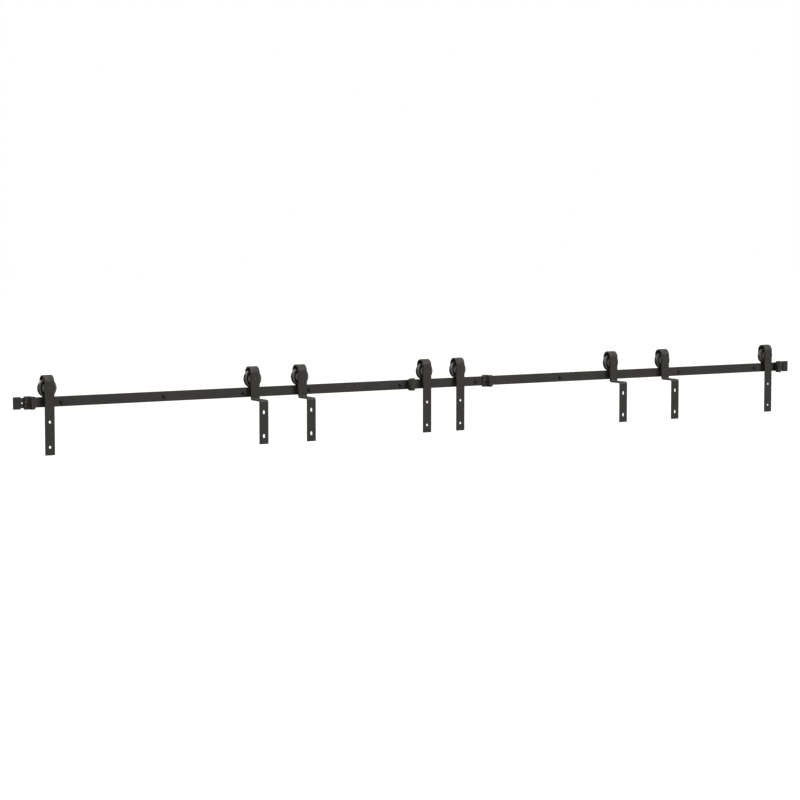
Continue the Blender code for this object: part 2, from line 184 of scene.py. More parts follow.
AXLE_CENTRE_DEPTH = 0.0012
AXLE_COLLAR_FIT = 0.00005
AXLE_ROUNDING = 0.0005
AXLE_STEPS = 56
COLLAR_BORE_MIDDLE = 0.003

# Nuts: a hexagonal bar whose corners are cut by a shallow cone at both ends.
CORNER_SHARPNESS = 64
CORNER_OVERREACH = 1.06
NUT_STEPS = 96
NUT_INSET = 0.0002
NUT_LIP = 0.00006
CHAMFER_STEPS = 7
CHAMFER_SLOPE = 0.62

# Turned shapes: the radius that counts as the axis, the most of a side that a rounded
# corner may take, and the angles that stay sharp.
ON_AXIS = 1e-7
CORNER_SHARE = 0.45
TURNED_SHARP_ANGLE = math.radians(60)
THREAD_SHARP_ANGLE = math.radians(50)

# Camera and surroundings.
CAMERA_PLACE = (-5.60457, -8.69736, 0.79567)
CAMERA_YAW = -0.55835
CAMERA_PITCH = -0.08403
CAMERA_LENS = 109.099
CAMERA_SENSOR = 36.0
CAMERA_REACH = 300.0
BRIGHT_SIDE = (0.20, -0.45, 0.87)
BRIGHT_LIGHT = 0.75
DIM_LIGHT = 0.05
FLOOR_Z = -2.1
FLOOR_HALF_SIZE = 60.0
FLOOR_GLOW = 0.55

# Soft panels, all aimed at the middle of the rail: name, place, size and power.
LIGHTS = (
    ("key_panel", (6.5, -13.0, 9.5), 7.0, 2100),
    ("top_panel", (-1.5, -1.0, 5.5), 3.5, 150),
    ("back_panel", (-6.0, 4.0, 3.5), 3.5, 190),
    ("rear_panel", (-2.0, 10.0, 4.0), 5.0, 900),
)

# Colours. Shades are a dark and a light tone that a cloudy noise mixes.
COAT_SHADES = (0.0198, 0.0180, 0.0148), (0.0240, 0.0220, 0.0184)
COAT_WORN = (0.075, 0.069, 0.061)
STOP_COAT_SHADES = (0.0330, 0.0294, 0.0245), (0.0395, 0.0354, 0.0298)
STOP_COAT_WORN = (0.090, 0.083, 0.072)
COAT_DUST = (0.16, 0.15, 0.135)
WHEEL_PAINT_SHADES = (0.015, 0.0145, 0.013), (0.022, 0.021, 0.019)
# Rim face and boss: bare lathe-faced metal, made lighter still as a painted highlight.
WHEEL_RIM_FACED_AND_HIGHLIGHT = (0.118, 0.115, 0.109), (0.160, 0.156, 0.149)
WHEEL_BOSS_FACED_AND_HIGHLIGHT = (0.29, 0.283, 0.268), (0.38, 0.369, 0.352)
WHEEL_TREAD = (0.26, 0.25, 0.24)
OXIDE_SHADES = (0.0300, 0.0278, 0.0245), (0.0400, 0.0385, 0.0365)
LAG_OXIDE_SHADES = (0.0140, 0.0130, 0.0116), (0.0195, 0.0186, 0.0172)
OXIDE_WORN = (0.20, 0.19, 0.18)
CAP_SHADES = (0.0150, 0.0138, 0.0138), (0.0200, 0.0185, 0.0185)
CAP_WORN = (0.062, 0.059, 0.059)
RUBBER_SHADES = (0.0290, 0.0272, 0.0240), (0.0370, 0.0348, 0.0310)
RUBBER_DUST = (0.060, 0.056, 0.050)
BEARING_SHADES = (0.30, 0.29, 0.28), (0.42, 0.41, 0.40)
BEARING_FILM = (0.10, 0.085, 0.06)
FLOOR_SHADES = (0.93, 0.93, 0.93), (0.95, 0.95, 0.95)

# Lathe rings in radians per metre, and the radii between which the wheel's finishes blend; the lighter rim
# face and boss are bare faced metal with a painted highlight on it.
LATHE_RINGS = 9000.0
RIM_FACE_AND_HIGHLIGHT_STARTS = (0.0290, 0.0300)
BOSS_AND_HIGHLIGHT_ENDS = (0.0226, 0.0214)
FLANGE_PAINT_STARTS = (0.0348, 0.0356)

FACE_ROOM = Matrix.Rotation(math.radians(90), 4, "X")


# ---------------------------------------------------------------- shaders


class Shader:
    """A small hand for building one procedural material."""

    def __init__(self, name, roughness, metallic=0.0, specular=0.5):
        self.material = bpy.data.materials.new(name)
        self.material.use_nodes = True
        self.tree = self.material.node_tree
        self.surface = self.tree.nodes["Principled BSDF"]
        self.surface.inputs["Roughness"].default_value = roughness
        self.surface.inputs["Metallic"].default_value = metallic
        self.surface.inputs["Specular IOR Level"].default_value = specular
        self.place = self.node("ShaderNodeTexCoord")

    def node(self, kind, **settings):
        made = self.tree.nodes.new(kind)
        for key, value in settings.items():
            setattr(made, key, value)
        return made

    def link(self, source, target):
        self.tree.links.new(source, target)

    def feed(self, socket, value):
        if isinstance(value, bpy.types.NodeSocket):
            self.link(value, socket)
        else:
            socket.default_value = value

    def noise(self, scale, detail=3.0, roughness=0.55):
        made = self.node("ShaderNodeTexNoise")
        made.inputs["Scale"].default_value = scale
        made.inputs["Detail"].default_value = detail
        made.inputs["Roughness"].default_value = roughness
        self.link(self.place.outputs["Object"], made.inputs["Vector"])
        return made.outputs["Fac"]

    def cells(self, scale):
        made = self.node("ShaderNodeTexVoronoi")
        made.inputs["Scale"].default_value = scale
        self.link(self.place.outputs["Object"], made.inputs["Vector"])
        return made.outputs["Distance"]

    def math(self, operation, first, second=0.0):
        made = self.node("ShaderNodeMath", operation=operation)
        self.feed(made.inputs[0], first)
        self.feed(made.inputs[1], second)
        return made.outputs[0]

    def remap(self, value, low, high, new_low=0.0, new_high=1.0):
        made = self.node("ShaderNodeMapRange")
        made.interpolation_type = "SMOOTHSTEP"
        self.feed(made.inputs["Value"], value)
        made.inputs["From Min"].default_value = low
        made.inputs["From Max"].default_value = high
        made.inputs["To Min"].default_value = new_low
        made.inputs["To Max"].default_value = new_high
        return made.outputs["Result"]

    def mix(self, factor, first, second):
        made = self.node("ShaderNodeMix", data_type="RGBA")
        self.feed(made.inputs["Factor"], factor)
        for socket, value in ((made.inputs[6], first), (made.inputs[7], second)):
            self.feed(socket, value if isinstance(value, bpy.types.NodeSocket) else (*value, 1.0))
        return made.outputs[2]

    def bump(self, height, distance, strength=1.0, below=None):
        made = self.node("ShaderNodeBump")
        made.inputs["Distance"].default_value = distance
        made.inputs["Strength"].default_value = strength
        self.feed(made.inputs["Height"], height)
        if below is not None:
            self.link(below, made.inputs["Normal"])
        return made.outputs["Normal"]

    def facing(self, axis):
        """How far the surface faces along an axis of its object, from -1 to 1."""
        split = self.node("ShaderNodeSeparateXYZ")
        self.link(self.place.outputs["Normal"], split.inputs[0])
        return split.outputs[axis]

    def rounded_edges(self):
        """Near 1 on the rounding between two flat faces, 0 on the faces themselves."""
        sides = [self.math("ABSOLUTE", self.facing(axis)) for axis in "XYZ"]
        largest = self.math("MAXIMUM", self.math("MAXIMUM", sides[0], sides[1]), sides[2])
        return self.remap(largest, 0.985, 0.86)

    def finish(self, colour, roughness=None, normal=None):
        self.link(colour, self.surface.inputs["Base Color"])
        if roughness is not None:
            self.link(roughness, self.surface.inputs["Roughness"])
        if normal is not None:
            self.link(normal, self.surface.inputs["Normal"])
        return self.material


def powder_coat(name, dark, light, worn):
    """Matte baked paint: orange peel, faint mottling, dust on top and rubbed edges."""
    paint = Shader(name, roughness=0.6, specular=0.32)
    cloud = paint.remap(paint.noise(9.0, 4.0), 0.30, 0.70)
    colour = paint.mix(cloud, dark, light)
    speckle = paint.remap(paint.noise(1500.0, 2.0), 0.42, 0.62)
    colour = paint.mix(paint.math("MULTIPLY", speckle, 0.35), colour, light)
    up = paint.remap(paint.facing("Z"), 0.45, 0.95)
    dust = paint.math("MULTIPLY", up, paint.remap(paint.noise(70.0, 5.0), 0.35, 0.75))
    colour = paint.mix(paint.math("MULTIPLY", dust, 0.30), colour, COAT_DUST)
    chips = paint.remap(paint.noise(260.0, 5.0, 0.7), 0.50, 0.66)
    rubbed = paint.math("MULTIPLY", paint.rounded_edges(), chips)
    colour = paint.mix(paint.math("MULTIPLY", rubbed, 0.55), colour, worn)
    rough = paint.remap(paint.noise(45.0, 4.0), 0.25, 0.75, 0.54, 0.70)
    rough = paint.math("SUBTRACT", rough, paint.math("MULTIPLY", rubbed, 0.16))
    normal = paint.bump(paint.noise(850.0, 2.0), 0.00011, 0.55)
    normal = paint.bump(paint.cells(2600.0), 0.00003, 0.35, normal)
    return paint.finish(colour, rough, normal)


def turned_steel(name):
    """Blackened wheel: fine rings from the lathe, a rubbed groove, and a lighter rim face and boss that are
    bare faced metal with a painted highlight.
    """
    steel = Shader(name, roughness=0.34, metallic=0.5, specular=0.5)
    split = steel.node("ShaderNodeSeparateXYZ")
    steel.link(steel.place.outputs["Object"], split.inputs[0])
    across = steel.math("POWER", split.outputs["X"], 2.0)
    upward = steel.math("POWER", split.outputs["Z"], 2.0)
    radius = steel.math("SQRT", steel.math("ADD", across, upward))
    rings = steel.math("SINE", steel.math("MULTIPLY", radius, LATHE_RINGS))
    cloud = steel.remap(steel.noise(60.0, 4.0), 0.30, 0.72)
    painted = steel.mix(cloud, *WHEEL_PAINT_SHADES)
    # The rim face and the boss get light tones: bare faced metal plus a painted highlight.
    faced_and_highlight = steel.mix(cloud, *WHEEL_RIM_FACED_AND_HIGHLIGHT)
    boss_and_highlight = steel.mix(cloud, *WHEEL_BOSS_FACED_AND_HIGHLIGHT)
    colour = steel.mix(steel.remap(radius, *RIM_FACE_AND_HIGHLIGHT_STARTS), painted, faced_and_highlight)
    colour = steel.mix(steel.remap(radius, *BOSS_AND_HIGHLIGHT_ENDS), colour, boss_and_highlight)
    tread = steel.remap(radius, GROOVE_RADIUS + 0.0014, GROOVE_RADIUS + 0.0002)
    inside = steel.math("LESS_THAN", steel.math("ABSOLUTE", split.outputs["Y"]), GROOVE_HALF_MOUTH)
    beyond = steel.math("GREATER_THAN", radius, GROOVE_RADIUS - 0.001)
    running = steel.math("MULTIPLY", steel.math("MULTIPLY", tread, inside), beyond)
    scuffs = steel.remap(steel.noise(420.0, 4.0), 0.35, 0.60)
    colour = steel.mix(
        steel.math("MULTIPLY", steel.math("MULTIPLY", running, scuffs), 0.7),
        colour,
        WHEEL_TREAD,
    )
    flange = steel.remap(radius, *FLANGE_PAINT_STARTS)
    colour = steel.mix(steel.math("MULTIPLY", flange, 0.9), colour, painted)
    rough = steel.remap(steel.noise(130.0, 4.0), 0.25, 0.75, 0.27, 0.42)
    normal = steel.bump(rings, 0.000012, 0.5)
    normal = steel.bump(steel.noise(1200.0, 2.0), 0.00004, 0.4, normal)
    return steel.finish(colour, rough, normal)


def black_oxide(name, low, high):
    """Oiled black steel of the fasteners, a little brown and blue, bright where rubbed."""
    steel = Shader(name, roughness=0.48, metallic=0.2, specular=0.40)
    tint = steel.remap(steel.noise(220.0, 4.0), 0.30, 0.70)
    colour = steel.mix(tint, low, high)
    chips = steel.remap(steel.noise(900.0, 4.0, 0.7), 0.48, 0.66)
    rubbed = steel.math("MULTIPLY", steel.rounded_edges(), chips)
    colour = steel.mix(steel.math("MULTIPLY", rubbed, 0.5), colour, OXIDE_WORN)
    rough = steel.remap(steel.noise(500.0, 3.0), 0.25, 0.75, 0.34, 0.54)
    normal = steel.bump(steel.noise(2200.0, 2.0), 0.00003, 0.45)
    return steel.finish(colour, rough, normal)


def moulded_plastic(name):
    """Fine spark-eroded grain of a moulded cap, slightly polished on its edges."""
    plastic = Shader(name, roughness=0.62, specular=0.32)
    cloud = plastic.remap(plastic.noise(40.0, 3.0), 0.30, 0.70)
    colour = plastic.mix(cloud, *CAP_SHADES)
    chips = plastic.remap(plastic.noise(300.0), 0.4, 0.65)
    edge = plastic.math("MULTIPLY", plastic.rounded_edges(), chips)
    colour = plastic.mix(plastic.math("MULTIPLY", edge, 0.4), colour, CAP_WORN)
    rough = plastic.remap(plastic.noise(160.0, 4.0), 0.25, 0.75, 0.55, 0.72)
    grain = plastic.remap(plastic.cells(2100.0), 0.05, 0.65)
    normal = plastic.bump(grain, 0.00007, 0.5)
    return plastic.finish(colour, rough, normal)


def rubber(name):
    """Dull rubber with mould grain and a little dust."""
    soft = Shader(name, roughness=0.85, specular=0.22)
    cloud = soft.remap(soft.noise(90.0, 4.0), 0.30, 0.70)
    colour = soft.mix(cloud, *RUBBER_SHADES)
    dust = soft.remap(soft.noise(520.0, 5.0, 0.7), 0.50, 0.75)
    colour = soft.mix(soft.math("MULTIPLY", dust, 0.35), colour, RUBBER_DUST)
    rough = soft.remap(soft.noise(210.0, 3.0), 0.25, 0.75, 0.76, 0.92)
    normal = soft.bump(soft.noise(1300.0, 3.0), 0.00010, 0.5)
    normal = soft.bump(soft.cells(700.0), 0.00005, 0.3, normal)
    return soft.finish(colour, rough, normal)


def bright_steel(name):
    """Ground steel of the bearing rings."""
    steel = Shader(name, roughness=0.3, metallic=1.0)
    cloud = steel.remap(steel.noise(300.0, 4.0), 0.30, 0.70)
    colour = steel.mix(cloud, *BEARING_SHADES)
    film = steel.remap(steel.noise(120.0, 5.0), 0.45, 0.75)
    colour = steel.mix(steel.math("MULTIPLY", film, 0.5), colour, BEARING_FILM)
    rough = steel.remap(steel.noise(800.0, 3.0), 0.25, 0.75, 0.22, 0.40)
    normal = steel.bump(steel.noise(2600.0, 2.0), 0.00002, 0.4)
    return steel.finish(colour, rough, normal)


def studio_floor(name):
    """Plain pale floor with the faintest unevenness."""
    pale = Shader(name, roughness=0.9, specular=0.1)
    cloud = pale.remap(pale.noise(0.8, 3.0), 0.30, 0.70)
    colour = pale.mix(cloud, *FLOOR_SHADES)
    pale.surface.inputs["Emission Color"].default_value = (1.0, 1.0, 1.0, 1.0)
    pale.surface.inputs["Emission Strength"].default_value = FLOOR_GLOW
    return pale.finish(colour)


# ---------------------------------------------------------------- shapes


def mesh_of(bm, name):
    bmesh.ops.recalc_face_normals(bm, faces=bm.faces)
    mesh = bpy.data.meshes.new(name)
    bm.to_mesh(mesh)
    bm.free()
    return mesh


def skin(bm, rings):
    """Faces between neighbouring rings of points, and one over each end."""
    count = len(rings[0])
    for first, second in zip(rings, rings[1:]):
        for side in range(count):
            after = (side + 1) % count
            bm.faces.new((first[side], first[after], second[after], second[side]))
    bm.faces.new(rings[0])
    bm.faces.new(list(reversed(rings[-1])))


def temporary(name, mesh):
    shape = bpy.data.objects.new(name, mesh)
    bpy.context.scene.collection.objects.link(shape)
    return shape


def block(name, low, high):
    """A plain block between two corners, to be cut and rounded."""
    low, high = Vector(low), Vector(high)
    bm = bmesh.new()
    size = Matrix.Diagonal((*(high - low), 1.0))
    bmesh.ops.create_cube(bm, size=1.0, matrix=Matrix.Translation((low + high) / 2) @ size)
    return temporary(name, mesh_of(bm, name))


def bar_along_y(name, radius, start_y, end_y, x=0.0, z=0.0, steps=48, stretch=0.0):
    """A round bar along Y; stretch lengthens it up and down into a slot."""
    bm = bmesh.new()
    turn = FACE_ROOM @ Matrix.Rotation(math.pi / steps, 4, "Z")
    depth = end_y - start_y
    bmesh.ops.create_cone(
        bm, cap_ends=True, segments=steps, radius1=radius, radius2=radius, depth=depth, matrix=turn
    )
    for vertex in bm.verts:
        vertex.co.z += math.copysign(stretch, vertex.co.z)
    bmesh.ops.translate(bm, verts=bm.verts, vec=(x, (start_y + end_y) / 2, z))
    return temporary(name, mesh_of(bm, name))


def combine(target, other, operation):
    step = target.modifiers.new(operation.lower(), "BOOLEAN")
    step.operation = operation
    step.solver = "EXACT"
    step.object = other
    return target


def cut(target, *others):
    for other in others:
        combine(target, other, "DIFFERENCE")
    return target


def join(target, *others):
    for other in others:
        combine(target, other, "UNION")
    return target


def divided(target):
    """Splits every face into triangles, so that rounding can't fold a large face over itself."""
    target.modifiers.new("divide", "TRIANGULATE")
    return target


def soften(target, width, segments=3, angle=32):
    """Rounds every sharp edge."""
    step = target.modifiers.new("soften", "BEVEL")
    step.width = width
    step.segments = segments
    step.limit_method = "ANGLE"
    step.angle_limit = math.radians(angle)
    step.miter_outer = "MITER_ARC"
    return target


def settled(target):
    """Applies a shape's modifiers and removes it with its cutters; gives the smooth mesh."""
    target.data.shade_smooth()
    bpy.context.view_layer.update()
    evaluated = target.evaluated_get(bpy.context.evaluated_depsgraph_get())
    mesh = bpy.data.meshes.new_from_object(evaluated)
    mesh.name = target.name
    helpers = [step.object for step in target.modifiers if step.type == "BOOLEAN"]
    for helper in helpers:
        bpy.data.objects.remove(helper)
    bpy.data.objects.remove(target)
    return mesh


def rounded_corners(points, rounding, steps=4):
    """A line of (radius, height) points with every corner between its two ends rounded."""
    made = [Vector(points[0])]
    for before, corner, after in zip(points, points[1:], points[2:]):
        before, corner, after = Vector(before), Vector(corner), Vector(after)
        reach_in = (before - corner).length
        reach_out = (after - corner).length
        reach = min(rounding, reach_in * CORNER_SHARE, reach_out * CORNER_SHARE)
        start = corner + (before - corner).normalized() * reach
        end = corner + (after - corner).normalized() * reach
        for step in range(steps + 1):
            share = step / steps
            first = start.lerp(corner, share)
            second = corner.lerp(end, share)
            made.append(first.lerp(second, share))
    made.append(Vector(points[-1]))
    return [(point.x, point.y) for point in made]


def turned(name, profile, steps, reach=None):
    """Turns (radius, height) points around Z and lays the result with its top to the room.

    A profile that starts off the axis is closed into a ring. reach gives the radius at an
    angle where the shape isn't round.
    """
    bm = bmesh.new()
    rings = []
    for radius, height in profile:
        if radius < ON_AXIS:
            rings.append([bm.verts.new((0.0, 0.0, height))])
            continue
        ring = []
        for step in range(steps):
            angle = 2 * math.pi * step / steps
            out = reach(radius, angle) if reach else radius
            ring.append(bm.verts.new((out * math.cos(angle), out * math.sin(angle), height)))
        rings.append(ring)
    if profile[0][0] > ON_AXIS:
        rings.append(rings[0])
    for lower, upper in zip(rings, rings[1:]):
        for step in range(steps):
            after = (step + 1) % steps
            if len(lower) == 1:
                bm.faces.new((lower[0], upper[after], upper[step]))
            elif len(upper) == 1:
                bm.faces.new((lower[step], lower[after], upper[0]))
            else:
                bm.faces.new((lower[step], lower[after], upper[after], upper[step]))
    bmesh.ops.transform(bm, matrix=FACE_ROOM, verts=bm.verts)
    mesh = mesh_of(bm, name)
    mesh.shade_smooth()
    mesh.set_sharp_from_angle(angle=TURNED_SHARP_ANGLE)
    return mesh


def solid_pin(name, radius, back, front, steps):
    """A plain round pin between two heights."""
    return turned(name, [(0.0, back), (radius, back), (radius, front), (0.0, front)], steps)


def hexagon_reach(flats, radius, angle):
    """How far a hexagonal bar turned down to a radius reaches at an angle, with rounded corners."""
    sides = [max(0.0, math.cos(angle - side * math.pi / 3)) * 2 / flats for side in range(6)]
    total = sum(side**CORNER_SHARPNESS for side in sides) + (1 / radius) ** CORNER_SHARPNESS
    return total ** (-1 / CORNER_SHARPNESS)


def nut_mesh(name, flats, back, front):
    """A hexagon with both ends chamfered; its room side is at y = -front."""
    inner = flats / 2 - NUT_INSET
    outer = flats / math.sqrt(3) * CORNER_OVERREACH
    depth = (outer - inner) * CHAMFER_SLOPE
    cone = []
    for step in range(CHAMFER_STEPS + 1):
        cone.append((inner + (outer - inner) * step / CHAMFER_STEPS, depth * step / CHAMFER_STEPS))
    outline = [(0.0, back), (inner - NUT_INSET, back)]
    outline += [(radius, back + NUT_LIP + along) for radius, along in cone]
    outline += [(radius, front - NUT_LIP - along) for radius, along in reversed(cone)]
    outline += [(inner - NUT_INSET, front), (0.0, front)]
    return turned(name, outline, NUT_STEPS, lambda radius, angle: hexagon_reach(flats, radius, angle))


def joined(name, *meshes):
    """Several meshes as one mesh of loose shapes."""
    bm = bmesh.new()
    for mesh in meshes:
        bm.from_mesh(mesh)
    made = bpy.data.meshes.new(name)
    bm.to_mesh(made)
    bm.free()
    return made


def moved(mesh, offset, turn=None):
    copy = mesh.copy()
    if turn is not None:
        copy.transform(turn)
    copy.transform(Matrix.Translation(offset))
    return copy


def piece(name, mesh, material, body, nodes=(), place=(0, 0, 0)):
    """Adds one visible piece to the hardware, riding on its body; its flat faces shade flat."""
    made = bpy.data.objects.new(name, mesh)
    bpy.context.scene.collection.objects.link(made)
    made.location = place
    weigh = made.modifiers.new("weigh", "WEIGHTED_NORMAL")
    weigh.keep_sharp = True
    mesh.materials.clear()
    mesh.materials.append(material)
    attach(made, body)
    if nodes:
        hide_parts(*nodes)
    return made


# ---------------------------------------------------------------- rail


def middle(node):
    low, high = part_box(node)
    return (low + high) / 2


def numbers(before, after=""):
    """The numbers of the nodes whose names are a number between two given texts."""
    found = [name.removeprefix(before).removesuffix(after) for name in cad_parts]
    return sorted(int(text) for text in found if text.isdecimal())


def make_rails():
    """Both lengths of flat bar with every hole drilled through them."""
    left_low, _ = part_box("rail_left")
    right_low, right_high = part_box("rail_right")
    front, back = right_low.y, right_high.y
    joint = right_low.x - RAIL_JOINT_GAP / 2
    holes = [(middle(f"lag_bolt_{n}").x, LAG_HOLE_RADIUS) for n in LAG_BOLTS]
    holes += [(middle(f"stop_bolt_{stop}").x, STOP_HOLE_RADIUS) for stop in STOPS]
    holes += [(-END_HOLE_X, END_HOLE_RADIUS), (END_HOLE_X, END_HOLE_RADIUS)]
    holes += [(joint + offset, STUD_HOLE_RADIUS) for offset in STUD_OFFSETS]
    spans = {"left": (left_low.x, joint - RAIL_JOINT_GAP / 2), "right": (right_low.x, right_high.x)}
    for side, (start, end) in spans.items():
        bar = block(f"rail_bar_{side}", (start, front, right_low.z), (end, back, right_high.z))
        soften(bar, EDGE_ROUNDING)
        for x, radius in holes:
            if start < x < end:
                cut(bar, bar_along_y("drill", radius, front - CUTTER_SPARE, back + CUTTER_SPARE, x=x))
        soften(bar, HOLE_ROUNDING, 2, 50)
        mesh = settled(bar)
        piece(f"rail_bar_{side}", mesh, coat, "root", (f"rail_{side}",))
    make_splice(joint, front, back)


def make_splice(joint, front, back):
    """The plate behind the joint, its two studs and its weld to the left bar."""
    low = (joint - SPLICE_HALF_LENGTH, back + GAP, -SPLICE_HALF_HEIGHT)
    high = (joint + SPLICE_HALF_LENGTH, back + GAP + SPLICE_THICKNESS, SPLICE_HALF_HEIGHT)
    plate = block("splice_plate", low, high)
    plate_mesh = settled(soften(plate, SPLICE_ROUNDING))
    studs = []
    length = back + GAP + STUD_SINK - front
    profile = [(0.0, 0.0), (STUD_RADIUS, 0.0), (STUD_RADIUS, length), (0.0, length)]
    stud = turned("stud", rounded_corners(profile, STUD_ROUNDING, 3), STUD_STEPS)
    for offset in STUD_OFFSETS:
        studs.append(moved(stud, (joint + offset, front + length, 0)))
    bead = weld_bead(low, joint, back)
    mesh = joined("splice_plate", plate_mesh, *studs)
    piece("splice_plate", mesh, coat, "root", ("rail_left",))
    piece("splice_weld", bead, coat, "root", ("rail_left",))


def weld_bead(low, joint, back):
    """A rippled fillet weld around three sides of the plate, on the left bar only."""
    randomness = random.Random(11)
    y = back + GAP
    left, right = low[0] - WELD_INSET, joint - WELD_STOP
    bottom, top = low[2] - WELD_INSET, -low[2] + WELD_INSET
    corners = [(right, bottom), (left, bottom), (left, top), (right, top)]
    line = []
    for (x0, z0), (x1, z1) in zip(corners, corners[1:]):
        count = max(int(math.hypot(x1 - x0, z1 - z0) / WELD_STEP), 2)
        line += [(x0 + (x1 - x0) * s / count, z0 + (z1 - z0) * s / count) for s in range(count)]
    bm = bmesh.new()
    rings = []
    ripple = 0.0
    for index, (x, z) in enumerate(line):
        before = line[max(index - 1, 0)]
        after = line[min(index + 1, len(line) - 1)]
        along = Vector((after[0] - before[0], 0, after[1] - before[1])).normalized()
        across = Vector((along.z, 0, -along.x))
        ripple += WELD_STEP / WELD_RIPPLE * 2 * math.pi * randomness.uniform(*WELD_UNEVENNESS)
        radius = WELD_RADIUS * (1 - WELD_RIPPLE_DEPTH + WELD_RIPPLE_DEPTH * math.cos(ripple))
        if index in (0, len(line) - 1):
            radius *= WELD_END_SHARE
        ring = []
        for side in range(WELD_SIDES):
            angle = 2 * math.pi * side / WELD_SIDES
            offset = across * math.cos(angle) + Vector((0, 1, 0)) * math.sin(angle)
            ring.append(bm.verts.new(Vector((x, y, z)) + offset * radius))
        rings.append(ring)
    skin(bm, rings)
    mesh = mesh_of(bm, "splice_weld")
    mesh.shade_smooth()
    return mesh


def make_spacers():
    """Turned tubes between the rail and the wall."""
    low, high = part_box("wall_spacer_1")
    radius = (high.x - low.x) / 2
    bore_middle = (LAG_HOLE_RADIUS, -(high.y + low.y) / 2)
    closed = [
        bore_middle,
        (LAG_HOLE_RADIUS, -high.y),
        (radius, -high.y),
        (radius, -low.y),
        (LAG_HOLE_RADIUS, -low.y),
        bore_middle,
    ]
    outline = rounded_corners(closed, SPACER_ROUNDING, 3)[:-1]
    tube = turned("spacer_tube", outline, SPACER_STEPS)
    for number in LAG_BOLTS:
        mesh = moved(tube, (middle(f"wall_spacer_{number}").x, 0, 0))
        node = f"wall_spacer_{number}"
        piece(f"spacer_tube_{number}", mesh, coat, "root", (node,))


def thread_mesh(start, end):
    """The threaded part of a lag bolt, from y = start to its point at y = end."""
    rows = int((end - start) / LAG_PITCH * THREAD_ROWS_PER_TURN)
    bm = bmesh.new()
    rings = []
    for row in range(rows + 1):
        y = start + (end - start) * row / rows
        taper = min((end - y) / LAG_POINT, 1.0)
        fade = min((y - start) / THREAD_RUN_IN, 1.0)
        ring = []
        for step in range(THREAD_SIDES):
            angle = 2 * math.pi * step / THREAD_SIDES
            phase = ((y - start) / LAG_PITCH - step / THREAD_SIDES) % 1.0
            ridge = max(0.0, 1.0 - abs(phase - 0.5) / THREAD_RIDGE_SHARE)
            crest = LAG_CORE_RADIUS + (LAG_RADIUS - LAG_CORE_RADIUS) * ridge
            radius = LAG_RADIUS + (crest - LAG_RADIUS) * fade
            radius = LAG_TIP_RADIUS + (radius - LAG_TIP_RADIUS) * taper
            ring.append(bm.verts.new((radius * math.cos(angle), y, radius * math.sin(angle))))
        rings.append(ring)
    for first, second in zip(rings, rings[1:]):
        for step in range(THREAD_SIDES):
            after = (step + 1) % THREAD_SIDES
            bm.faces.new((first[step], second[step], second[after], first[after]))
    bm.faces.new(rings[0])
    bm.faces.new(list(reversed(rings[-1])))
    mesh = mesh_of(bm, "lag_thread")
    mesh.shade_smooth()
    mesh.set_sharp_from_angle(angle=THREAD_SHARP_ANGLE)
    return mesh


def make_lag_bolts():
    """Hexagon head, pressed washer, smooth shank and wood thread of every lag bolt."""
    low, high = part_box("lag_bolt_1")
    seat = -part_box("rail_right")[0].y + GAP
    washer_front = seat + WASHER_THICKNESS
    washer_profile = [
        (LAG_HOLE_RADIUS, seat),
        (WASHER_RADIUS, seat),
        (WASHER_RADIUS, washer_front),
        (LAG_HOLE_RADIUS, washer_front),
        (LAG_HOLE_RADIUS, seat + WASHER_BORE_LIP),
    ]
    washer = turned("washer", rounded_corners(washer_profile, WASHER_ROUNDING, 3), WASHER_STEPS)
    head = nut_mesh("lag_head", LAG_HEAD_FLATS, washer_front + LAG_HEAD_LIFT, -low.y)
    collar_front = washer_front + LAG_COLLAR_THICKNESS
    collar = solid_pin("collar", LAG_COLLAR_RADIUS, washer_front, collar_front, LAG_COLLAR_STEPS)
    shank = solid_pin("shank", LAG_RADIUS, -LAG_THREAD_START, washer_front, LAG_SHANK_STEPS)
    thread = thread_mesh(LAG_THREAD_START - THREAD_LAP, high.y)
    bolt = joined("lag_screw", washer, head, collar, shank, thread)
    randomness = random.Random(5)
    for number in LAG_BOLTS:
        turn = Matrix.Rotation(randomness.uniform(0, math.pi), 4, "Y")
        mesh = moved(bolt, (middle(f"lag_bolt_{number}").x, 0, 0), turn)
        piece(f"lag_screw_{number}", mesh, lag_oxide, "root", (f"lag_bolt_{number}",))


def make_end_caps():
    """Moulded sleeves over the rail ends, hollow where the bar goes in."""
    right_low, right_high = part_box("rail_right")
    for side in ("left", "right"):
        node = f"end_cap_{side}"
        low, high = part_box(node)
        sleeve = soften(block(f"cap_{side}", low, high), CAP_ROUNDING, 4)
        rail_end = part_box("rail_left")[0].x if side == "left" else right_high.x
        inner = rail_end - GAP if side == "left" else rail_end + GAP
        outer = high.x + CUTTER_SPARE if side == "left" else low.x - CUTTER_SPARE
        pocket_low = (min(inner, outer), right_low.y - GAP, right_low.z - GAP)
        pocket_high = (max(inner, outer), right_high.y + GAP, right_high.z + GAP)
        cut(sleeve, block("pocket", pocket_low, pocket_high))
        soften(sleeve, POCKET_ROUNDING, 2, 50)
        mesh = settled(sleeve)
        piece(f"cap_{side}", mesh, plastic, "root", (node,))


# ---------------------------------------------------------------- stops


def make_stops():
    """Each stop: the bracket round the bar, its rubber bumper and its socket screw."""
    for stop in STOPS:
        low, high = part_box(f"stop_bracket_{stop}")
        bumper_low, bumper_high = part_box(f"stop_bumper_{stop}")
        side = 1 if bumper_high.x > high.x else -1
        make_bracket(stop, side, low, high)
        make_bumper(stop, side, high if side > 0 else low, bumper_low, bumper_high)
        make_stop_screw(stop)


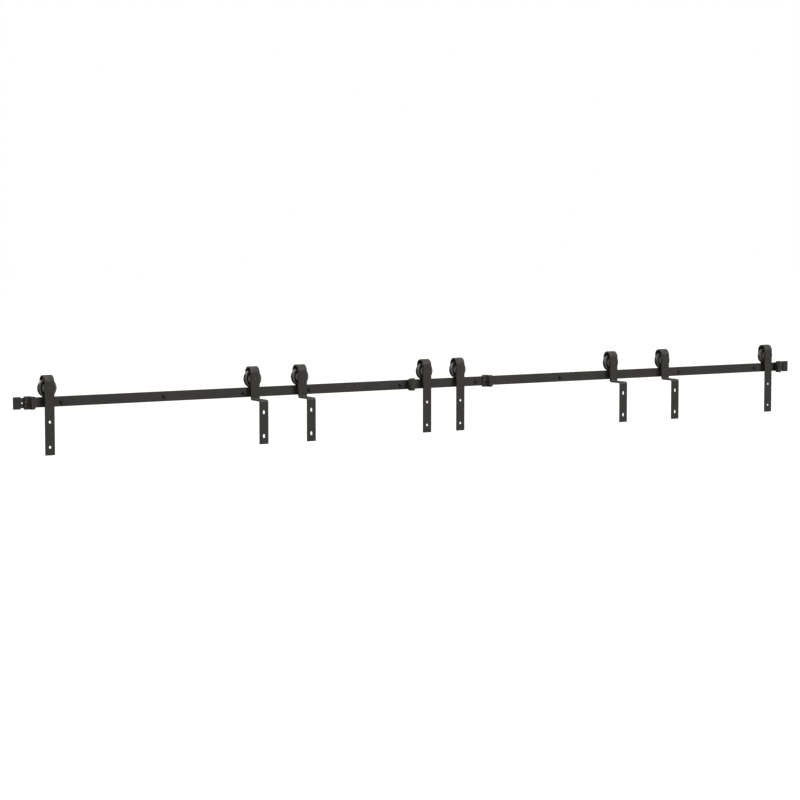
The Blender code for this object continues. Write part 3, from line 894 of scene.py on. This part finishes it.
def make_bracket(stop, side, low, high):
    """A channel over the bar whose front plate is bent out into the bumper's upstand."""
    rail_low, rail_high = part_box("rail_right")
    seat = rail_low.y - GAP
    far = low.x if side > 0 else high.x
    base_x = sorted((far, far + side * STOP_BASE_LENGTH))
    channel = block(
        f"stop_plate_{stop}",
        (base_x[0], seat - STOP_BASE_THICKNESS, low.z),
        (base_x[1], rail_high.y, high.z),
    )
    space = block(
        "rail_space",
        (base_x[0] - BRACKET_SPARE, seat, rail_low.z - GAP),
        (base_x[1] + BRACKET_SPARE, rail_high.y + BRACKET_SPARE, rail_high.z + GAP),
    )
    cut(channel, space)
    upstand = upstand_block(far, side, seat, low, high)
    join(channel, settled_object(upstand))
    soften(divided(channel), BRACKET_ROUNDING, 3, 40)
    x = middle(f"stop_bolt_{stop}").x
    start, end = seat - BRACKET_DRILL_REACH, seat + BRACKET_DRILL_REACH
    cut(channel, bar_along_y("bolt_hole", STOP_HOLE_RADIUS, start, end, x=x))
    mesh = settled(channel)
    node = f"stop_bracket_{stop}"
    piece(f"stop_plate_{stop}", mesh, coat_brown, "root", (node,))


def upstand_block(far, side, seat, low, high):
    """The upstand with its bend: an outline seen from above, drawn out from low to high."""
    foot = STOP_BASE_LENGTH - STOP_BEND
    bend_depth = STOP_BASE_THICKNESS + STOP_BEND - STOP_FOOT_INSET
    depth = seat - low.y
    outline = [(foot - STOP_FOOT_LAP, 0.0), (foot - STOP_FOOT_LAP, STOP_BASE_THICKNESS - STOP_FOOT_INSET)]
    for step in range(STOP_BEND_STEPS + 1):
        angle = math.radians(90 * step / STOP_BEND_STEPS)
        outline.append((foot + STOP_BEND * math.sin(angle), bend_depth - STOP_BEND * math.cos(angle)))
    outline += [(STOP_BASE_LENGTH, depth), (STOP_BASE_LENGTH + STOP_UPSTAND, depth)]
    outline.append((STOP_BASE_LENGTH + STOP_UPSTAND, 0.0))
    bm = bmesh.new()
    ends = []
    for z in (low.z, high.z):
        ends.append([bm.verts.new((far + side * along, seat - out, z)) for along, out in outline])
    skin(bm, ends)
    return soften(temporary("upstand", mesh_of(bm, "upstand")), UPSTAND_ROUNDING, 4, 50)


def settled_object(target):
    """The shape as an object again, with its modifiers applied."""
    name = target.name
    return temporary(name, settled(target))


def make_bumper(stop, side, face, low, high):
    """The rubber block on the upstand's face."""
    near, far = (high.x, face.x + GAP) if side > 0 else (low.x, face.x - GAP)
    block_low = (min(near, far), low.y, low.z)
    block_high = (max(near, far), high.y, high.z)
    pad = soften(block(f"bumper_{stop}", block_low, block_high), BUMPER_ROUNDING, 5)
    node = f"stop_bumper_{stop}"
    piece(f"bumper_{stop}", settled(pad), soft_rubber, "root", (node,))


def make_stop_screw(stop):
    """Low round head with a hexagon socket, and a nut behind the bar."""
    node = f"stop_bolt_{stop}"
    low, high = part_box(node)
    seat = -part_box(f"stop_bracket_{stop}")[0].y
    rail_low, rail_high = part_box("rail_right")
    head_back = -(rail_low.y - GAP - STOP_BASE_THICKNESS - GAP)
    head_front = -low.y
    nut_front = -(rail_high.y + GAP)
    nut_back = nut_front - STOP_NUT_HEIGHT
    radius = (high.x - low.x) / 2
    crown = [
        (0.0, -high.y),
        (STOP_SHANK_RADIUS - STOP_SHANK_CHAMFER, -high.y),
        (STOP_SHANK_RADIUS, -high.y + STOP_SHANK_CHAMFER),
        (STOP_SHANK_RADIUS, head_back),
        (radius, head_back),
        (radius, head_back + STOP_HEAD_RIM),
        (radius * STOP_HEAD_SHOULDER_SHARE, head_front - STOP_HEAD_SHOULDER),
        (radius * STOP_HEAD_FLAT_SHARE, head_front),
        (0.0, head_front),
    ]
    outline = rounded_corners(crown, STOP_HEAD_ROUNDING, 2)
    head = temporary("stop_screw", turned("stop_screw", outline, STOP_HEAD_STEPS))
    socket_radius = SOCKET_FLATS / math.sqrt(3)
    socket_start, socket_end = -head_front - SOCKET_SPARE, -head_front + SOCKET_DEPTH
    cut(head, bar_along_y("socket", socket_radius, socket_start, socket_end, steps=6))
    screw = settled(head)
    nut = nut_mesh("stop_nut", STOP_NUT_FLATS, nut_back, nut_front)
    mesh = moved(joined("stop_screw", screw, nut), (middle(node).x, 0, 0))
    piece(f"stop_screw_{stop}", mesh, oxide, "root", (node,))


# ---------------------------------------------------------------- hangers


def arc(centre, radius, start, end, steps):
    """Points of an arc in the YZ plane; angles in degrees, from the +Y direction up."""
    angles = [math.radians(start + (end - start) * step / steps) for step in range(steps + 1)]
    return [(centre[0] + radius * math.cos(a), centre[1] + radius * math.sin(a)) for a in angles]


def strap_line(offset, bottom, back_end):
    """The strap's middle line in (y, z) around the wheel's plane."""
    line = [(STRAP_HALF_SPACING, back_end)]
    line += arc((0, ARC_CENTRE_Z), STRAP_HALF_SPACING, 0, 180, STRAP_ARC_STEPS)
    if offset:
        inner = (-STRAP_HALF_SPACING - BEND_RADIUS, OFFSET_PLATE_Z + BEND_RADIUS)
        outer = (-STRAP_HALF_SPACING - OFFSET_REACH + BEND_RADIUS, OFFSET_PLATE_Z - BEND_RADIUS)
        line += arc(inner, BEND_RADIUS, 0, -90, STRAP_BEND_STEPS)
        line += arc(outer, BEND_RADIUS, 90, 180, STRAP_BEND_STEPS)
        line.append((-STRAP_HALF_SPACING - OFFSET_REACH, bottom))
    else:
        line.append((-STRAP_HALF_SPACING, bottom))
    return line


def swept(name, line, width, thickness):
    """A flat band of metal that follows a line in the YZ plane."""
    bm = bmesh.new()
    rings = []
    for index, (y, z) in enumerate(line):
        point = Vector((y, z))
        before = Vector(line[max(index - 1, 0)])
        after = Vector(line[min(index + 1, len(line) - 1)])
        into = (point - before).normalized() if index > 0 else (after - point).normalized()
        out = (after - point).normalized() if index < len(line) - 1 else into
        direction = (into + out).normalized()
        normal = Vector((-direction.y, direction.x)) / max(direction.dot(into), 0.5)
        ring = []
        for side, face in ((-1, -1), (1, -1), (1, 1), (-1, 1)):
            spot = point + normal * face * thickness / 2
            ring.append(bm.verts.new((side * width / 2, spot.x, spot.y)))
        rings.append(ring)
    skin(bm, rings)
    return temporary(name, mesh_of(bm, name))


def strap_mesh(number, offset):
    """The folded strap of one hanger around its wheel's middle plane, then put in place."""
    kind = "offset" if offset else "straight"
    low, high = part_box(f"hanger_{number}_strap_{kind}")
    wheel = middle(f"hanger_{number}_wheel")
    line = strap_line(offset, low.z, BACK_LEG_END_Z)
    band = swept(f"strap_{number}", line, high.x - low.x, STRAP_THICKNESS)
    soften(band, STRAP_ROUNDING, 3, 40)
    reach = STRAP_HALF_SPACING + OFFSET_REACH + STRAP_DRILL_SPARE
    back = STRAP_HALF_SPACING + STRAP_DRILL_SPARE
    steps = STRAP_HOLE_STEPS
    cut(band, bar_along_y("axle_hole", AXLE_HOLE_RADIUS, -back, back, z=wheel.z, steps=steps))
    stretch = SLOT_STRETCH if offset else 0.0
    for z in OFFSET_HOLES_Z if offset else STRAIGHT_HOLES_Z:
        cut(band, bar_along_y("door_hole", DOOR_HOLE_RADIUS, -reach, 0, z=z, steps=steps, stretch=stretch))
    soften(band, HOLE_ROUNDING, 2, 50)
    return moved(settled(band), (wheel.x, wheel.y, 0))


def wheel_outline():
    """The wheel's section from its bearing seat out to its groove and back."""
    upper = [
        (BEARING_RADIUS, BEARING_SEAT_LIP),
        (BEARING_RADIUS, HUB_HALF_WIDTH),
        (HUB_RADIUS, HUB_HALF_WIDTH),
        (HUB_FOOT_RADIUS, WEB_HALF_WIDTH),
        (RIM_INNER_RADIUS, WEB_HALF_WIDTH),
        (RIM_INNER_RADIUS + RIM_RISE, WHEEL_HALF_WIDTH),
        (RIM_OUTER_RADIUS, WHEEL_HALF_WIDTH),
        (WHEEL_RADIUS, WHEEL_HALF_WIDTH - FLANGE_BEVEL),
        (WHEEL_RADIUS, GROOVE_HALF_MOUTH),
        (GROOVE_RADIUS, GROOVE_HALF_WIDTH),
    ]
    lower = [(radius, -height) for radius, height in reversed(upper)]
    seat_middle = (BEARING_RADIUS, 0.0)
    return rounded_corners([seat_middle, *upper, *lower, seat_middle], WHEEL_ROUNDING, 4)[:-1]


def bearing_outline():
    """The section of a bearing: both rings' end faces with the seal's dip between them."""
    outer = BEARING_RADIUS - BEARING_FIT
    seal_out, seal_in = outer - BEARING_OUTER_RING, BEARING_BORE + BEARING_INNER_RING
    top = HUB_HALF_WIDTH - BEARING_SETBACK
    dip = top - BEARING_DIP
    bore_middle = (BEARING_BORE, top - BEARING_BORE_MIDDLE)
    closed = [
        bore_middle,
        (BEARING_BORE, top),
        (seal_in, top),
        (seal_in, dip),
        (seal_out, dip),
        (seal_out, top),
        (outer, top),
        (outer, top - BEARING_WIDTH),
        (BEARING_BORE, top - BEARING_WIDTH),
        bore_middle,
    ]
    return rounded_corners(closed, BEARING_ROUNDING, 2)[:-1]


def make_wheels(rolling):
    """Grooved wheels with two ball bearings each; a seal shows between their rings."""
    wheel = turned("roller", wheel_outline(), WHEEL_STEPS)
    ring = turned("bearing", bearing_outline(), BEARING_STEPS)
    seal_top = HUB_HALF_WIDTH - BEARING_SETBACK - SEAL_SETBACK
    seal_profile = [
        (BEARING_BORE + SEAL_INNER_INSET, seal_top - SEAL_THICKNESS),
        (BEARING_BORE + SEAL_INNER_INSET, seal_top),
        (BEARING_RADIUS - SEAL_OUTER_INSET, seal_top),
        (BEARING_RADIUS - SEAL_OUTER_INSET, seal_top - SEAL_THICKNESS),
    ]
    seal_outline = rounded_corners([*seal_profile, seal_profile[0]], SEAL_ROUNDING, 2)[:-1]
    seal = turned("seal", seal_outline, BEARING_STEPS)
    back = Matrix.Rotation(math.pi, 4, "Z")
    rings = joined("bearing", ring, moved(ring, (0, 0, 0), back))
    seals = joined("seal", seal, moved(seal, (0, 0, 0), back))
    randomness = random.Random(3)
    for number in HANGERS:
        node = f"hanger_{number}_wheel"
        place = middle(node)
        turn = Matrix.Rotation(randomness.uniform(0, 2 * math.pi), 4, "Y")
        body = f"wheel_{number}"
        shapes = (("roller", wheel, rolling), ("bearing", rings, steel), ("bearing_seal", seals, soft_rubber))
        for kind, shape, material in shapes:
            mesh = moved(shape, (0, 0, 0), turn)
            piece(f"{kind}_{number}", mesh, material, body, (node,), place)


def make_axles():
    """Axle pin flush in the strap's front, its two collars, and the lock nut behind."""
    low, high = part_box("hanger_1_axle_bolt")
    place = middle("hanger_1_wheel")
    front, back = place.y - low.y, place.y - high.y
    collar_outer = STRAP_HALF_SPACING - STRAP_THICKNESS / 2 - GAP
    collar_inner = HUB_HALF_WIDTH + GAP
    nut_front = -(STRAP_HALF_SPACING + STRAP_THICKNESS / 2 + GAP)
    nut_back = back + AXLE_END_SHOW
    pin_profile = [
        (0.0, back),
        (AXLE_RADIUS - AXLE_END_CHAMFER, back),
        (AXLE_RADIUS, back + AXLE_END_CHAMFER),
        (AXLE_RADIUS, front),
        (AXLE_CENTRE_RADIUS, front),
        (0.0, front - AXLE_CENTRE_DEPTH),
    ]
    pin = turned("pin", rounded_corners(pin_profile, AXLE_ROUNDING, 3), AXLE_STEPS)
    collars = []
    bore = AXLE_RADIUS + AXLE_COLLAR_FIT
    for start in (collar_inner, -collar_outer):
        end = start + collar_outer - collar_inner
        bore_middle = (bore, start + COLLAR_BORE_MIDDLE)
        outline = [
            bore_middle,
            (bore, start),
            (COLLAR_RADIUS, start),
            (COLLAR_RADIUS, end),
            (bore, end),
            bore_middle,
        ]
        collars.append(turned("collar", rounded_corners(outline, AXLE_ROUNDING, 3)[:-1], AXLE_STEPS))
    nut = nut_mesh("lock_nut", AXLE_NUT_FLATS, nut_back, nut_front)
    mesh = joined("axle", pin, *collars, nut)
    randomness = random.Random(8)
    for number in HANGERS:
        node = f"hanger_{number}_axle_bolt"
        turn = Matrix.Rotation(randomness.uniform(0, math.pi), 4, "Y")
        spot = middle(f"hanger_{number}_wheel")
        copy = moved(mesh, (0, 0, 0), turn)
        piece(f"axle_pin_{number}", copy, oxide, f"hanger_{number}", (node,), spot)


def make_straps():
    """Every hanger's strap, of the kind that the model has there."""
    for number in HANGERS:
        offset = f"hanger_{number}_strap_offset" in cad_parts
        kind = "offset" if offset else "straight"
        mesh = strap_mesh(number, offset)
        node = f"hanger_{number}_strap_{kind}"
        piece(f"strap_{number}", mesh, coat, f"hanger_{number}", (node,))


# ---------------------------------------------------------------- studio


def make_camera():
    camera = bpy.data.objects.new("camera", bpy.data.cameras.new("camera"))
    bpy.context.scene.collection.objects.link(camera)
    camera.location = CAMERA_PLACE
    camera.rotation_euler = (math.pi / 2 + CAMERA_PITCH, 0, CAMERA_YAW)
    camera.data.sensor_width = CAMERA_SENSOR
    camera.data.lens = CAMERA_LENS
    camera.data.clip_end = CAMERA_REACH
    bpy.context.scene.camera = camera


def make_light(name, place, size, power):
    """A large soft panel aimed at the middle of the rail."""
    lamp = bpy.data.lights.new(name, "AREA")
    lamp.shape = "DISK"
    lamp.size = size
    lamp.energy = power
    panel = bpy.data.objects.new(name, lamp)
    bpy.context.scene.collection.objects.link(panel)
    panel.location = place
    panel.rotation_euler = (-Vector(place)).to_track_quat("-Z", "Y").to_euler()


def make_studio():
    """Pale floor far below the rail, a white surround and the soft panels."""
    bm = bmesh.new()
    bmesh.ops.create_grid(bm, x_segments=8, y_segments=8, size=FLOOR_HALF_SIZE)
    bmesh.ops.translate(bm, verts=bm.verts, vec=(0, 0, FLOOR_Z))
    floor = temporary("studio_floor", mesh_of(bm, "studio_floor"))
    floor.data.materials.append(studio_floor("pale_floor"))
    floor.visible_diffuse = False
    floor.visible_glossy = False
    make_surround()
    bpy.context.scene.view_settings.view_transform = "Standard"
    for name, place, size, power in LIGHTS:
        make_light(name, place, size, power)


def make_surround():
    """A white surround; its light comes mostly from above and the front, a little from the right."""
    world = bpy.data.worlds.new("studio")
    world.use_nodes = True
    tree = world.node_tree
    sky = tree.nodes["Background"]
    sky.inputs["Color"].default_value = (1.0, 1.0, 1.0, 1.0)
    place = tree.nodes.new("ShaderNodeTexCoord")
    toward = tree.nodes.new("ShaderNodeVectorMath")
    toward.operation = "DOT_PRODUCT"
    toward.inputs[1].default_value = Vector(BRIGHT_SIDE).normalized()
    tree.links.new(place.outputs["Generated"], toward.inputs[0])
    shed = tree.nodes.new("ShaderNodeMapRange")
    shed.inputs["From Min"].default_value = -1.0
    shed.inputs["To Min"].default_value = DIM_LIGHT
    shed.inputs["To Max"].default_value = BRIGHT_LIGHT
    tree.links.new(toward.outputs["Value"], shed.inputs["Value"])
    seen = tree.nodes.new("ShaderNodeLightPath")
    strength = tree.nodes.new("ShaderNodeMix")
    strength.inputs[3].default_value = 1.0
    tree.links.new(seen.outputs["Is Camera Ray"], strength.inputs["Factor"])
    tree.links.new(shed.outputs["Result"], strength.inputs[2])
    tree.links.new(strength.outputs[0], sky.inputs["Strength"])
    bpy.context.scene.world = world


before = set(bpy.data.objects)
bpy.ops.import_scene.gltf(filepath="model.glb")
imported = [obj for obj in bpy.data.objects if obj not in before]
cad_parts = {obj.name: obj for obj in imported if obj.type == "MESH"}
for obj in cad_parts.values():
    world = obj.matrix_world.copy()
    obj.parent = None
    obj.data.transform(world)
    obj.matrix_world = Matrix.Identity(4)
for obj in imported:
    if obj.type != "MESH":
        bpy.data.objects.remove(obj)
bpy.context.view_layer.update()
bracket_nodes = [name for name in sorted(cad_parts) if name.startswith("stop_bracket_")]
STOPS = [name.removeprefix("stop_bracket_") for name in bracket_nodes]
HANGERS = numbers("hanger_", "_wheel")
LAG_BOLTS = numbers("lag_bolt_")
coat = powder_coat("coat_black", *COAT_SHADES, COAT_WORN)
coat_brown = powder_coat("coat_stops", *STOP_COAT_SHADES, STOP_COAT_WORN)
oxide = black_oxide("oxide_steel", *OXIDE_SHADES)
lag_oxide = black_oxide("oxide_lag_bolts", *LAG_OXIDE_SHADES)
plastic = moulded_plastic("moulded_cap")
soft_rubber = rubber("bumper_rubber")
steel = bright_steel("bearing_steel")
make_camera()
make_studio()
make_rails()
make_spacers()
make_lag_bolts()
make_end_caps()
make_stops()
make_straps()
make_wheels(turned_steel("turned_black"))
make_axles()
